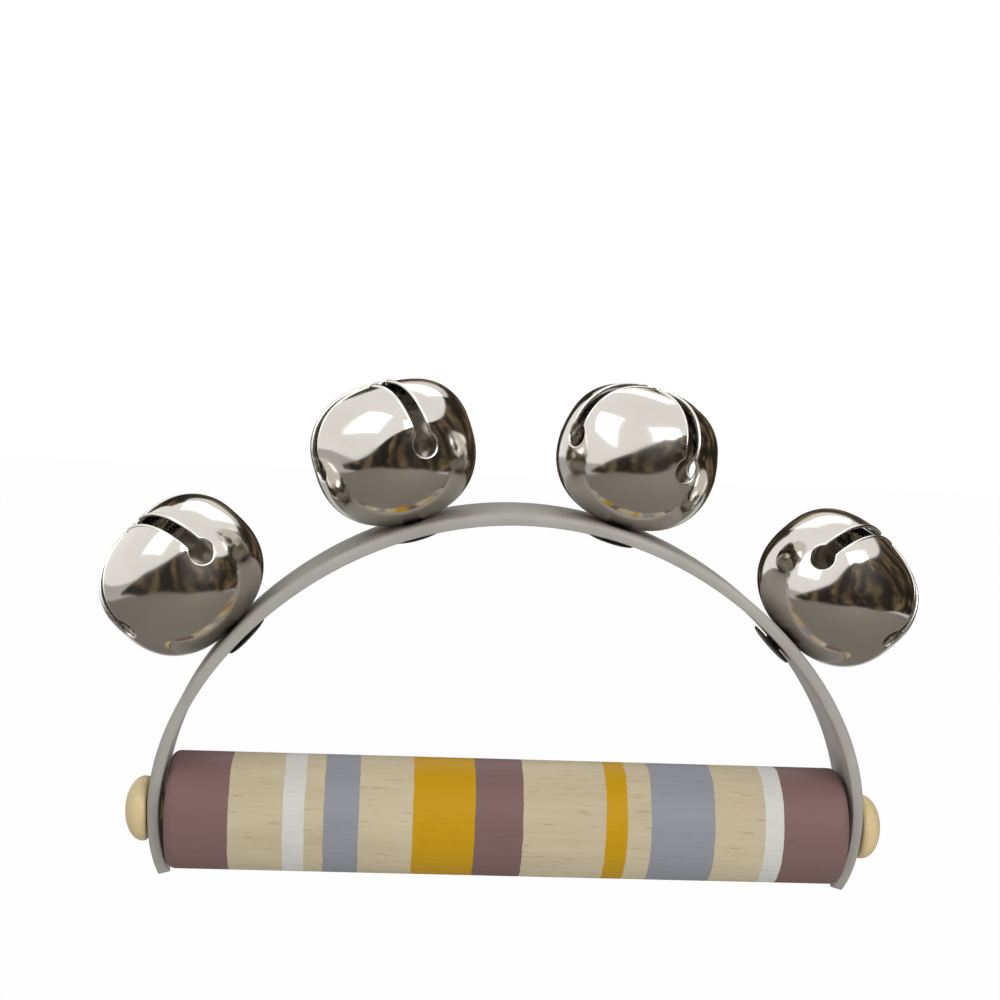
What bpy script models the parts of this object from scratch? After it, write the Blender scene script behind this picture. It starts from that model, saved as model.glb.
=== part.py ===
# Hand jingle bells: a turned handle, an arched strap pinned to its ends, and four slotted bells
# riveted along the strap, each with a loose pellet inside. Metres, +Z up. The handle lies along X
# with its middle at the origin, the arch stands up over it, and the front faces -Y.

import math

import bmesh
import bpy
from mathutils import Vector

# Gaps left between pieces that seat on, pass through or turn on one another
SEAT_GAP = 0.0003
RUNNING_GAP = 0.0003
RIM_GAP = 0.00045
FLANGE_GAP = 0.0004

# Handle
HANDLE_LENGTH = 0.145
HANDLE_DIAMETER = 0.025
HANDLE_EDGE_RADIUS = 0.002

# Painted bands from the left end: colour and width. The last one runs on to the right end.
BANDS = (
    ("plum", 0.0134),
    ("beech", 0.0114),
    ("white", 0.0043),
    ("beech", 0.0041),
    ("blue", 0.0075),
    ("beech", 0.0110),
    ("mustard", 0.0130),
    ("plum", 0.0104),
    ("beech", 0.0173),
    ("mustard", 0.0045),
    ("beech", 0.0053),
    ("blue", 0.0137),
    ("beech", 0.0106),
    ("white", 0.0040),
    ("plum", None),
)

# Wooden pins that hold the strap to the handle
PIN_HEAD_DIAMETER = 0.0138
PIN_HEAD_HEIGHT = 0.0050
PIN_HEAD_SKIRT = 0.0010
PIN_SHANK_DIAMETER = 0.0060
PIN_DEPTH_IN_HANDLE = 0.0180

# Strap: an arch near an ellipse, its shoulders drawn in a little, its ends tapering to round tips
STRAP_RISE = 0.0677
STRAP_THICKNESS = 0.0025
STRAP_WIDTH = 0.0220
STRAP_SHOULDER = 0.019
STRAP_TIP_DROP = 0.0137
STRAP_TAPER_LENGTH = 0.0600
STRAP_EDGE_RADIUS = 0.0009

# Where the bells stand, as distances along the strap from its crown, and how far each is turned
BELL_PLACES = (-0.0654, -0.0225, 0.0198, 0.0630)
BELL_TURNS = (32.0, 24.0, 29.0, 51.0)

# Bells: sheet pressed into a cup with four petals that close over the top
BELL_DIAMETER = 0.0345
BELL_CUP_DEPTH = 0.0149
BELL_PETAL_HEIGHT = 0.0151
BELL_SHEET = 0.0006
BELL_SEAT_DIAMETER = 0.0100
BELL_CUP_FULLNESS = 2.3
BELL_PETAL_FULLNESS = 2.5
BELL_PETAL_FLATTENING = 0.028
SLOT_WIDTH = 0.0035
KEYHOLE_DIAMETER = 0.0058
KEYHOLE_HEIGHT = 0.0009
SLOT_FOOT = 0.0005

# Pellets: steel balls, each rolling round a circle inside its bell
PELLET_DIAMETER = 0.0080
PELLET_GAP = 0.0004
PELLET_SLANT = math.radians(45)

# Blind rivets with a wide flange under the strap, and the mandrels left in them
RIVET_DIAMETER = 0.0040
FLANGE_DIAMETER = 0.0104
FLANGE_THICKNESS = 0.0010
FLANGE_RIM_THICKNESS = 0.0005
TAIL_DIAMETER = 0.0066
TAIL_HEIGHT = 0.0030
TAIL_ROUNDING = 0.0008
MANDREL_DIAMETER = 0.0020
MANDREL_HEAD_DIAMETER = 0.0030
MANDREL_HEAD_HEIGHT = 0.0012

# How finely curves are divided
HANDLE_SIDES = 48
PIN_SIDES = 24
BELL_SIDES = 32
RIVET_SIDES = 24
PELLET_SIDES = 16
KEYHOLE_SIDES = 16
ARCH_STEPS = 34
TAPER_STEPS = 9
TIP_START = math.radians(6)

# Colour, roughness and metallic value of each material
FINISHES = {
    "beech": ((0.56, 0.47, 0.33), 0.55, 0.0),
    "plum": ((0.21, 0.125, 0.115), 0.60, 0.0),
    "white": ((0.60, 0.60, 0.57), 0.60, 0.0),
    "blue": ((0.31, 0.33, 0.36), 0.60, 0.0),
    "mustard": ((0.56, 0.33, 0.01), 0.60, 0.0),
    "pin_beech": ((0.68, 0.55, 0.30), 0.50, 0.0),
    "strap_plastic": ((0.42, 0.40, 0.36), 0.55, 0.0),
    "nickel": ((0.66, 0.63, 0.58), 0.12, 1.0),
    "dark_steel": ((0.03, 0.028, 0.025), 0.40, 1.0),
    "bright_steel": ((0.50, 0.49, 0.47), 0.25, 1.0),
}


def clear_scene():
    for old in list(bpy.data.objects):
        bpy.data.objects.remove(old, do_unlink=True)


def finish(name):
    """The material of that name, made on first use."""
    if name in bpy.data.materials:
        return bpy.data.materials[name]
    colour, roughness, metallic = FINISHES[name]
    material = bpy.data.materials.new(name)
    material.use_nodes = True
    shader = material.node_tree.nodes["Principled BSDF"]
    shader.inputs["Base Color"].default_value = (*colour, 1.0)
    shader.inputs["Roughness"].default_value = roughness
    shader.inputs["Metallic"].default_value = metallic
    material.diffuse_color = (*colour, 1.0)
    return material


def close_mesh(shape, name):
    """Turns a closed bmesh into a mesh with its faces pointing out, shaded smooth between sharp edges."""
    bmesh.ops.recalc_face_normals(shape, faces=shape.faces)
    mesh = bpy.data.meshes.new(name)
    shape.to_mesh(mesh)
    shape.free()
    mesh.shade_smooth()
    mesh.set_sharp_from_angle(angle=math.radians(35))
    return mesh


def add_object(name, mesh, material, parent=None):
    obj = bpy.data.objects.new(name, mesh)
    if material is not None and not mesh.materials:
        mesh.materials.append(material)
    bpy.context.scene.collection.objects.link(obj)
    obj.parent = parent
    return obj


def add_empty(name, location, rotation=(0.0, 0.0, 0.0), parent=None):
    empty = bpy.data.objects.new(name, None)
    empty.location = location
    empty.rotation_euler = rotation
    bpy.context.scene.collection.objects.link(empty)
    empty.parent = parent
    return empty


def ring(shape, radius, height, sides):
    """A ring of vertices round Z, or the one vertex where the radius is nothing."""
    if radius == 0:
        return [shape.verts.new((0, 0, height))]
    turns = [2 * math.pi * i / sides for i in range(sides)]
    return [shape.verts.new((radius * math.cos(a), radius * math.sin(a), height)) for a in turns]


def join_rings(shape, lower, upper):
    """The faces between two rings, either of which may be a single vertex. Gives the new faces."""
    sides = max(len(lower), len(upper))
    made = []
    for i in range(sides):
        j = (i + 1) % sides
        corners = [lower[i % len(lower)], lower[j % len(lower)], upper[j % len(upper)], upper[i % len(upper)]]
        made.append(shape.faces.new(list(dict.fromkeys(corners))))
    return made


def turned(name, profile, sides, closed=False, slots=None):
    """A turned mesh round Z from (radius, height) points, end to end or, for a tube, as a closed loop."""
    shape = bmesh.new()
    rings = [ring(shape, radius, height, sides) for radius, height in profile]
    pairs = list(zip(rings, rings[1:] + rings[:1] if closed else rings[1:]))
    for place, (lower, upper) in enumerate(pairs):
        for face in join_rings(shape, lower, upper):
            face.material_index = slots[place] if slots else 0
    return close_mesh(shape, name)


def arc(centre, radius, start, end, steps):
    """Points on an arc in a profile, angles in degrees from the direction of growing radius."""
    angles = [math.radians(start + (end - start) * i / steps) for i in range(steps + 1)]
    return [(centre[0] + radius * math.cos(a), centre[1] + radius * math.sin(a)) for a in angles]


def cylinder(name, radius, length, sides):
    return turned(name, [(0, -length / 2), (radius, -length / 2), (radius, length / 2), (0, length / 2)], sides)


def cut(target, cutter, solver="EXACT"):
    """Takes the cutter out of the target. The cutter stays in the file as a guide."""
    cutter.hide_render = True
    cutter.display_type = "WIRE"
    modifier = target.modifiers.new("cut_" + cutter.name, "BOOLEAN")
    modifier.operation = "DIFFERENCE"
    modifier.object = cutter
    modifier.solver = solver


# The arch. Its inner face is the master curve, and the outer face lies one thickness outside it.


def arch_point(turn, half_span, height):
    """A point of the inner face in the XZ plane: an ellipse whose shoulders are drawn in."""
    drawn_in = 1 - STRAP_SHOULDER * math.sin(2 * turn) ** 2
    return half_span * math.cos(turn) * drawn_in, height * math.sin(turn) * drawn_in


def inner_rise():
    return STRAP_RISE - STRAP_THICKNESS


def turn_at_height(z):
    """The turn, between the right pin and the crown or a little below the pin, at which the arch is at z."""
    low, high = -math.pi / 4, math.pi / 2
    for _ in range(60):
        middle = (low + high) / 2
        if arch_point(middle, 1.0, inner_rise())[1] < z:
            low = middle
        else:
            high = middle
    return low


def inner_half_span():
    """Half the inner span, so that the strap clears the rounded rims of the handle."""
    rim_height = HANDLE_DIAMETER / 2 - HANDLE_EDGE_RADIUS
    reach = arch_point(turn_at_height(rim_height), 1.0, inner_rise())[0]
    return (HANDLE_LENGTH / 2 + RIM_GAP) / reach


def arch_frame(turn):
    """Point, outward normal and rightward tangent of the inner face at a turn, in the XZ plane."""
    step = 1e-5
    half_span = inner_half_span()
    before = Vector((*arch_point(turn + step, half_span, inner_rise()),))
    after = Vector((*arch_point(turn - step, half_span, inner_rise()),))
    tangent = (after - before).normalized()
    point = Vector((*arch_point(turn, half_span, inner_rise()),))
    return point, Vector((-tangent.y, tangent.x)), tangent


class ArchRuler:
    """Measures distances along the inner face, from the crown, positive to the right."""

    SAMPLES = 1200

    def __init__(self):
        half_span = inner_half_span()
        tip = turn_at_height(-STRAP_TIP_DROP)
        self.turns = [math.pi / 2 + (tip - math.pi / 2) * i / self.SAMPLES for i in range(self.SAMPLES + 1)]
        points = [Vector((*arch_point(t, half_span, inner_rise()),)) for t in self.turns]
        self.lengths = [0.0]
        for a, b in zip(points, points[1:]):
            self.lengths.append(self.lengths[-1] + (b - a).length)
        self.half_length = self.lengths[-1]

    def turn(self, distance):
        """The turn at a distance from the crown."""
        target = min(abs(distance), self.half_length)
        place = next(i for i, length in enumerate(self.lengths) if length >= target)
        place = max(place, 1)
        part = (target - self.lengths[place - 1]) / (self.lengths[place] - self.lengths[place - 1])
        turn = self.turns[place - 1] + part * (self.turns[place] - self.turns[place - 1])
        return turn if distance >= 0 else math.pi - turn

    def distance(self, turn):
        """The distance from the crown to a turn on the right half."""
        part = (turn - self.turns[0]) / (self.turns[-1] - self.turns[0]) * self.SAMPLES
        place = min(int(part), self.SAMPLES - 1)
        return self.lengths[place] + (part - place) * (self.lengths[place + 1] - self.lengths[place])


def strap_stations(ruler):
    """Distances along the strap and the half-width at each, from the left tip to the right one."""
    taper = min(STRAP_TAPER_LENGTH, 0.9 * ruler.half_length)
    tapering = []
    for i in range(TAPER_STEPS + 1):
        angle = TIP_START + (math.pi / 2 - TIP_START) * i / TAPER_STEPS
        from_tip = taper * (math.cos(TIP_START) - math.cos(angle)) / math.cos(TIP_START)
        tapering.append((ruler.half_length - from_tip, STRAP_WIDTH / 2 * math.sin(angle)))
    straight = ruler.half_length - taper
    middle = [(straight * (1 - 2 * i / ARCH_STEPS), STRAP_WIDTH / 2) for i in range(1, ARCH_STEPS)]
    right = tapering + middle[: ARCH_STEPS // 2]
    return [(-d, w) for d, w in right[:-1]] + [(d, w) for d, w in reversed(right)]


def strap_section(half_width):
    """(across, up from the inner face) points of the strap's section. Its outer corners are rounded."""
    radius = min(STRAP_EDGE_RADIUS, 0.4 * half_width, 0.6 * STRAP_THICKNESS)
    centre = (half_width - radius, STRAP_THICKNESS - radius)
    right = [(half_width, 0.0)] + arc(centre, radius, 0, 90, 3)
    return right + [(-across, up) for across, up in reversed(right)]


def make_strap(ruler):
    shape = bmesh.new()
    rings = []
    for distance, half_width in strap_stations(ruler):
        point, normal, _ = arch_frame(ruler.turn(distance))
        here = []
        for across, up in strap_section(half_width):
            place = point + normal * up
            here.append(shape.verts.new((place.x, across, place.y)))
        rings.append(here)
    for before, after in zip(rings, rings[1:]):
        join_rings(shape, before, after)
    shape.faces.new(rings[0])
    shape.faces.new(rings[-1])
    return add_object("strap", close_mesh(shape, "strap"), finish("strap_plastic"))


# Handle and its pins


def band_edges():
    """Heights along the handle where each band ends, with the band's colour."""
    end = -HANDLE_LENGTH / 2
    edges = []
    for colour, width in BANDS:
        end = HANDLE_LENGTH / 2 if width is None else end + width
        edges.append((end, colour))
    return edges


def make_handle():
    """A turned rod with rounded rims, a blind hole for a pin in each end, and its painted bands."""
    hole = PIN_SHANK_DIAMETER / 2 + SEAT_GAP
    depth = PIN_DEPTH_IN_HANDLE + SEAT_GAP
    half = HANDLE_LENGTH / 2
    radius = HANDLE_DIAMETER / 2
    rim = HANDLE_EDGE_RADIUS
    left = [(0, depth - half), (hole, depth - half), (hole, -half)]
    left += arc((radius - rim, rim - half), rim, -90, 0, 4)
    right = [(r, -z) for r, z in reversed(left)]
    inner_edges = [z for z, _ in band_edges()[:-1]]
    profile = left + [(radius, z) for z in inner_edges] + right
    colours = list(dict.fromkeys(colour for colour, _ in BANDS))
    places = [(a[1] + b[1]) / 2 for a, b in zip(profile, profile[1:])]
    slots = []
    for i, place in enumerate(places):
        bored = i < 2 or i >= len(places) - 2
        colour = next(name for end, name in band_edges() if place <= end + 1e-9)
        slots.append(colours.index("beech" if bored else colour))
    mesh = turned("handle", profile, HANDLE_SIDES, slots=slots)
    for colour in colours:
        mesh.materials.append(finish(colour))
    handle = add_object("handle", mesh, None)
    handle.rotation_euler = (0.0, math.radians(90), 0.0)
    return handle


def pin_reach():
    """From the middle of the handle to the underside of a pin's head, outside the strap."""
    return inner_half_span() + STRAP_THICKNESS + SEAT_GAP


def make_pin(name, side):
    """A pin with a domed head. Its mesh points outwards, and its origin is under the head, on the axis."""
    head = PIN_HEAD_DIAMETER / 2
    shank = PIN_SHANK_DIAMETER / 2
    tip = HANDLE_LENGTH / 2 - PIN_DEPTH_IN_HANDLE - pin_reach()
    chamfer = shank * 0.2
    profile = [(0, tip), (shank - chamfer, tip), (shank, tip + chamfer)]
    profile += [(shank, 0), (head - PIN_HEAD_SKIRT / 2, 0)]
    dome = PIN_HEAD_HEIGHT - PIN_HEAD_SKIRT
    steps = 6
    for i in range(steps):
        angle = math.pi / 2 * i / steps
        profile.append((head * math.cos(angle), PIN_HEAD_SKIRT + dome * math.sin(angle)))
    profile.append((0, PIN_HEAD_HEIGHT))
    pin = add_object(name, turned(name, profile, PIN_SIDES), finish("pin_beech"))
    pin.location = (side * pin_reach(), 0.0, 0.0)
    pin.rotation_euler = (0.0, side * math.radians(90), 0.0)
    return pin


def bore_for_pins(strap):
    length = 4 * (STRAP_THICKNESS + SEAT_GAP)
    for name, side in (("pin_hole_left", -1), ("pin_hole_right", 1)):
        mesh = cylinder(name, PIN_SHANK_DIAMETER / 2 + RUNNING_GAP, length, PIN_SIDES)
        bore = add_object(name, mesh, finish("strap_plastic"))
        bore.location = (side * (inner_half_span() + STRAP_THICKNESS / 2), 0.0, 0.0)
        bore.rotation_euler = (0.0, math.radians(90), 0.0)
        cut(strap, bore)


# Bells. The local frame of each stands on the outer face of the strap: +Z points away from the
# strap along the rivet, X lies along the strap and Y across it.


def bell_profile():
    """(radius, height) of the bell's outer skin from its rivet hole to its top, heights from the seat."""
    radius = BELL_DIAMETER / 2
    seat = BELL_SEAT_DIAMETER / 2
    hole = RIVET_DIAMETER / 2 + RUNNING_GAP
    power = 2 / BELL_CUP_FULLNESS
    start = math.acos((seat / radius) ** (1 / power))
    depth = BELL_CUP_DEPTH / math.sin(start) ** power
    profile = [(hole, 0.0), (seat, 0.0)]
    cup_steps = 5
    for i in range(1, cup_steps + 1):
        angle = start * (1 - i / cup_steps)
        height = BELL_CUP_DEPTH - depth * math.sin(angle) ** power
        profile.append((radius * math.cos(angle) ** power, height))
    power = 2 / BELL_PETAL_FULLNESS
    petal_steps = 7
    for i in range(1, petal_steps):
        angle = math.pi / 2 * i / petal_steps
        height = BELL_CUP_DEPTH + BELL_PETAL_HEIGHT * math.sin(angle) ** power
        profile.append((radius * math.cos(angle) ** power, height))
    profile.append((0.0, BELL_CUP_DEPTH + BELL_PETAL_HEIGHT))
    return profile


def petal_swell(height, azimuth):
    """How much wider or narrower than the round profile the bell is: square above, its corners at the slots."""
    above = (height - BELL_CUP_DEPTH) / BELL_PETAL_HEIGHT
    strength = min(max(3 * above, 0.0), 1.0)
    return 1 + strength * BELL_PETAL_FLATTENING * math.cos(4 * azimuth)


def skin(shape, profile):
    """One skin of the bell, as rings from the rivet hole up to the single vertex at the top."""
    rings = []
    for radius, height in profile:
        here = ring(shape, radius, height, BELL_SIDES)
        for i, vertex in enumerate(here):
            swell = petal_swell(height, 2 * math.pi * i / BELL_SIDES)
            vertex.co.x *= swell
            vertex.co.y *= swell
        rings.append(here)
    for lower, upper in zip(rings, rings[1:]):
        join_rings(shape, lower, upper)
    return rings


def inset_profile(profile, distance):
    """The same profile moved inwards by a distance, square to itself."""
    moved = []
    last = len(profile) - 1
    for i, (radius, height) in enumerate(profile):
        before = profile[max(i - 1, 0)]
        after = profile[min(i + 1, last)]
        along = Vector((after[0] - before[0], after[1] - before[1])).normalized()
        if i in (0, last):
            along = Vector((1.0, 0.0)) if i == 0 else Vector((-1.0, 0.0))
        moved.append((radius - along.y * distance, height + along.x * distance))
    moved[0] = (profile[0][0], profile[0][1] + distance)
    moved[-1] = (0.0, profile[-1][1] - distance)
    return moved


def make_bell_mesh():
    """The pressed shell: two skins joined round the rivet hole, with two crossed slots and four keyholes."""
    shape = bmesh.new()
    profile = bell_profile()
    outer = skin(shape, profile)
    inner = skin(shape, inset_profile(profile, BELL_SHEET))
    join_rings(shape, outer[0], inner[0])
    shell = add_object("bell_blank", close_mesh(shape, "bell_blank"), finish("nickel"))
    keyhole_height = BELL_CUP_DEPTH + KEYHOLE_HEIGHT
    reach = 1.3 * BELL_DIAMETER
    slot_length = BELL_PETAL_HEIGHT + BELL_SHEET
    guides = []
    for number, turn in ((1, 0.0), (2, math.radians(90))):
        slab_shape = bmesh.new()
        bmesh.ops.create_cube(slab_shape, size=1.0)
        bmesh.ops.scale(slab_shape, vec=(reach, SLOT_WIDTH, slot_length), verts=slab_shape.verts)
        slab = add_object(f"slot_{number}", close_mesh(slab_shape, "slot"), finish("nickel"))
        slab.location = (0.0, 0.0, keyhole_height + SLOT_FOOT + slot_length / 2)
        slab.rotation_euler = (0.0, 0.0, turn)
        rod = cylinder("keyholes", KEYHOLE_DIAMETER / 2, reach, KEYHOLE_SIDES)
        hole = add_object(f"keyholes_{number}", rod, finish("nickel"))
        hole.location = (0.0, 0.0, keyhole_height)
        hole.rotation_euler = (0.0, math.radians(90), turn)
        guides += [slab, hole]
    for guide in guides:
        cut(shell, guide, "MANIFOLD")
    bpy.context.view_layer.update()
    graph = bpy.context.evaluated_depsgraph_get()
    mesh = bpy.data.meshes.new_from_object(shell.evaluated_get(graph))
    mesh.name = "bell"
    for spent in [shell] + guides:
        bpy.data.objects.remove(spent, do_unlink=True)
    return mesh


# Rivets, in the same local frame as the bells


def flange_seat():
    """Height of the flange's upper face: it clears the strap's hollow inner face at the flange's rim."""
    tightest = min(curve_radius(place) for place in BELL_PLACES)
    dip = tightest - math.sqrt(tightest**2 - (FLANGE_DIAMETER / 2) ** 2)
    return -STRAP_THICKNESS - dip - FLANGE_GAP


def curve_radius(distance):
    """Radius of the strap's inner face at a distance along it from the crown."""
    ruler = RULER
    step = 0.002
    ahead = arch_frame(ruler.turn(distance + step))[2]
    behind = arch_frame(ruler.turn(distance - step))[2]
    return 2 * step / ahead.angle(behind)


def tail_base():
    """Height of the rivet's tail above the strap: over the bell's seat and its sheet."""
    return SEAT_GAP + BELL_SHEET + RUNNING_GAP


def make_rivet_mesh():
    """A wide flange under the strap, a tube through strap and bell, and a swollen tail inside the bell."""
    bore = MANDREL_DIAMETER / 2 + SEAT_GAP
    pocket = MANDREL_HEAD_DIAMETER / 2 + SEAT_GAP
    tube = RIVET_DIAMETER / 2
    flange = FLANGE_DIAMETER / 2
    tail = TAIL_DIAMETER / 2
    top = tail_base() + TAIL_HEIGHT
    seat = flange_seat()
    profile = [(bore, seat - FLANGE_THICKNESS), ((bore + flange) / 2, seat - 0.9 * FLANGE_THICKNESS)]
    profile += [(flange, seat - FLANGE_RIM_THICKNESS), (flange, seat), (tube, seat), (tube, tail_base())]
    profile += [(tail, tail_base())]
    profile += arc((tail - TAIL_ROUNDING, top - TAIL_ROUNDING), TAIL_ROUNDING, 0, 90, 3)
    pocket_floor = top - MANDREL_HEAD_HEIGHT - SEAT_GAP
    profile += [(pocket, top), (pocket, pocket_floor), (bore, pocket_floor)]
    return turned("rivet", profile, RIVET_SIDES, closed=True)


def make_mandrel_mesh():
    """The broken-off stem of the rivet's mandrel, its head sunk in the tail."""
    stem = MANDREL_DIAMETER / 2
    head = MANDREL_HEAD_DIAMETER / 2
    top = tail_base() + TAIL_HEIGHT
    under = top - MANDREL_HEAD_HEIGHT
    foot = flange_seat() - FLANGE_THICKNESS + SEAT_GAP
    profile = [(0, foot), (stem, foot), (stem, under), (head, under)]
    profile += [(head, (under + top) / 2), (head * 0.6, top), (0, top)]
    return turned("mandrel", profile, RIVET_SIDES // 2)


def bore_for_rivet(strap, place_name, stand):
    mesh = cylinder(place_name, RIVET_DIAMETER / 2 + SEAT_GAP, 4 * STRAP_THICKNESS, RIVET_SIDES)
    bore = add_object(place_name, mesh, finish("strap_plastic"), parent=stand)
    bore.location = (0.0, 0.0, -STRAP_THICKNESS / 2)
    cut(strap, bore)


# Pellets


def wall_distance(across, height):
    """Distance from a point inside the bell to its inner skin, where the petals are flattest."""
    inner = inset_profile(bell_profile(), BELL_SHEET)
    flattest = math.radians(45)
    points = [Vector((radius * petal_swell(level, flattest), level)) for radius, level in inner]
    here = Vector((across, height))
    distances = []
    for a, b in zip(points, points[1:]):
        part = (here - a).dot(b - a) / (b - a).length_squared
        distances.append((a + (b - a) * min(max(part, 0.0), 1.0) - here).length)
    return min(distances)


def pellet_circle():
    """Radius of the pellet's circle and its centre's height over the bell's seat.

    The pellet clears the top of the bell and, at a slant from the rivet, its cup by the same gap.
    """
    reach = PELLET_DIAMETER / 2 + PELLET_GAP
    top = BELL_CUP_DEPTH + BELL_PETAL_HEIGHT - BELL_SHEET
    low, high = 0.0, BELL_DIAMETER / 2
    for _ in range(40):
        radius = (low + high) / 2
        across = radius * math.sin(PELLET_SLANT)
        height = top - reach - radius * (1 + math.cos(PELLET_SLANT))
        if wall_distance(across, height) > reach:
            low = radius
        else:
            high = radius
    return low, top - reach - low


def pellet_pivot_height():
    """Height of the circle's centre over the seat of the bell's stand."""
    return SEAT_GAP + pellet_circle()[1]


def pellet_stop():
    """Angle from the rivet at which the pellet meets the edge of the rivet's tail."""
    across = TAIL_DIAMETER / 2
    down = pellet_pivot_height() - tail_base() - TAIL_HEIGHT
    edge = math.hypot(across, down)
    touch = PELLET_DIAMETER / 2 + RUNNING_GAP
    path = pellet_circle()[0]
    cosine = (path**2 + edge**2 - touch**2) / (2 * path * edge)
    return math.atan2(across, down) + math.acos(cosine)


def pellet_rest(lean):
    """Angle from the rivet at which the pellet lies: straight down, unless the tail holds it off that."""
    return math.copysign(max(abs(lean), pellet_stop()), lean)


def make_pellet_mesh():
    shape = bmesh.new()
    radius = PELLET_DIAMETER / 2
    bmesh.ops.create_uvsphere(shape, u_segments=PELLET_SIDES, v_segments=PELLET_SIDES // 2, radius=radius)
    return close_mesh(shape, "pellet")


def place_bells(strap):
    """Each bell with its pellet, rivet and mandrel, standing on the strap."""
    bell_mesh = make_bell_mesh()
    pellet_mesh = make_pellet_mesh()
    rivet_mesh = make_rivet_mesh()
    mandrel_mesh = make_mandrel_mesh()
    for number, (distance, turn) in enumerate(zip(BELL_PLACES, BELL_TURNS), start=1):
        point, normal, _ = arch_frame(RULER.turn(distance))
        foot = point + normal * STRAP_THICKNESS
        lean = math.atan2(normal.x, normal.y)
        stand = add_empty(f"bell_stand_{number}", (foot.x, 0.0, foot.y), (0.0, lean, 0.0))
        bore_for_rivet(strap, f"rivet_hole_{number}", stand)
        add_object(f"rivet_{number}", rivet_mesh, finish("dark_steel"), parent=stand)
        add_object(f"rivet_mandrel_{number}", mandrel_mesh, finish("bright_steel"), parent=stand)
        bell = add_object(f"bell_{number}", bell_mesh, finish("nickel"), parent=stand)
        bell.location = (0.0, 0.0, SEAT_GAP)
        bell.rotation_euler = (0.0, 0.0, math.radians(turn))
        pivot = add_empty(f"pellet_pivot_{number}", (0.0, 0.0, pellet_pivot_height()), parent=stand)
        pivot.rotation_euler = (0.0, -pellet_rest(lean), 0.0)
        pellet = add_object(f"pellet_{number}", pellet_mesh, finish("bright_steel"), parent=pivot)
        pellet.location = (0.0, 0.0, -pellet_circle()[0])


clear_scene()
RULER = ArchRuler()
make_handle()
make_pin("handle_pin_left", -1)
make_pin("handle_pin_right", 1)
STRAP = make_strap(RULER)
bore_for_pins(STRAP)
place_bells(STRAP)
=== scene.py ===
import math

import bmesh
import bpy
from mathutils import Matrix, Vector


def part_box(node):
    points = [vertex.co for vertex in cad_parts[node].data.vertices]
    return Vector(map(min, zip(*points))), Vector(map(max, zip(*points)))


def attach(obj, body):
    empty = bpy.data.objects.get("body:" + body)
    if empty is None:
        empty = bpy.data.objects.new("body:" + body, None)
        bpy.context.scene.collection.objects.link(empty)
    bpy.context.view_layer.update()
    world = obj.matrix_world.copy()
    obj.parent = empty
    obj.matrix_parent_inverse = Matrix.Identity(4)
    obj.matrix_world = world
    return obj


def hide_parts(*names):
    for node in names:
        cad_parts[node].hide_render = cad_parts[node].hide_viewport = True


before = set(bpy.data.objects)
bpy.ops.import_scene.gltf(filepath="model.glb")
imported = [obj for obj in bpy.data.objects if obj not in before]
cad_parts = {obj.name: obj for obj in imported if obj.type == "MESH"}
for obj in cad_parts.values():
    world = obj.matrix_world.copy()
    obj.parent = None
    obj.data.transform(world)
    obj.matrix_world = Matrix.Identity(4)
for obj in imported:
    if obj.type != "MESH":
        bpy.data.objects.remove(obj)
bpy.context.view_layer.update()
print("frame loaded")

# objects and meshes


def looseObject(name, data, matrix=Matrix()):
    obj = bpy.data.objects.new(name, data)
    obj.matrix_world = matrix
    bpy.context.scene.collection.objects.link(obj)
    return obj


def addPiece(name, mesh, material, body, nodes):
    mesh.materials.clear()
    mesh.materials.append(material)
    piece = bpy.data.objects.new(name, mesh)
    bpy.context.scene.collection.objects.link(piece)
    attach(piece, body)
    if nodes:
        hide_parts(*nodes)
    return piece


def finishMesh(shape, name, sharp=35):
    bmesh.ops.recalc_face_normals(shape, faces=shape.faces)
    mesh = bpy.data.meshes.new(name)
    shape.to_mesh(mesh)
    shape.free()
    mesh.shade_smooth()
    mesh.set_sharp_from_angle(angle=math.radians(sharp))
    return mesh


def meshOf(obj):
    # the object's mesh with its modifiers or its bevel applied
    bpy.context.view_layer.update()
    return bpy.data.meshes.new_from_object(obj.evaluated_get(bpy.context.evaluated_depsgraph_get()))


def ring(shape, radius, height, sides, swelling=None):
    # one ring of points round Z, or a single point on the axis
    if radius == 0:
        return [shape.verts.new((0, 0, height))]
    points = []
    for i in range(sides):
        a = 2 * math.pi * i / sides
        wide = radius * swelling(height, a) if swelling else radius
        points.append(shape.verts.new((wide * math.cos(a), wide * math.sin(a), height)))
    return points


def joinRings(shape, pairs, sides):
    for lower, upper in pairs:
        for i in range(sides):
            j = (i + 1) % sides
            corners = [lower[i % len(lower)], lower[j % len(lower)],
                       upper[j % len(upper)], upper[i % len(upper)]]
            shape.faces.new(list(dict.fromkeys(corners)))


def lathe(name, profile, sides, closed=False, sharp=35):
    # (radius, height) points turned round Z
    shape = bmesh.new()
    rings = [ring(shape, radius, height, sides) for radius, height in profile]
    joinRings(shape, zip(rings, rings[1:] + rings[:1] if closed else rings[1:]), sides)
    return finishMesh(shape, name, sharp)


def rodMesh(radius, low, high, sides):
    return lathe("rod", [(0, low), (radius, low), (radius, high), (0, high)], sides)


def squareMesh(name, size):
    half = size / 2
    mesh = bpy.data.meshes.new(name)
    corners = [(-half, -half, 0), (half, -half, 0), (half, half, 0), (-half, half, 0)]
    mesh.from_pydata(corners, [], [(0, 1, 2, 3)])
    return mesh


def arcPoints(centre, radius, start, end, steps):
    angles = [math.radians(start + (end - start) * i / steps) for i in range(steps + 1)]
    return [(centre[0] + radius * math.cos(a), centre[1] + radius * math.sin(a)) for a in angles]


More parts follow.
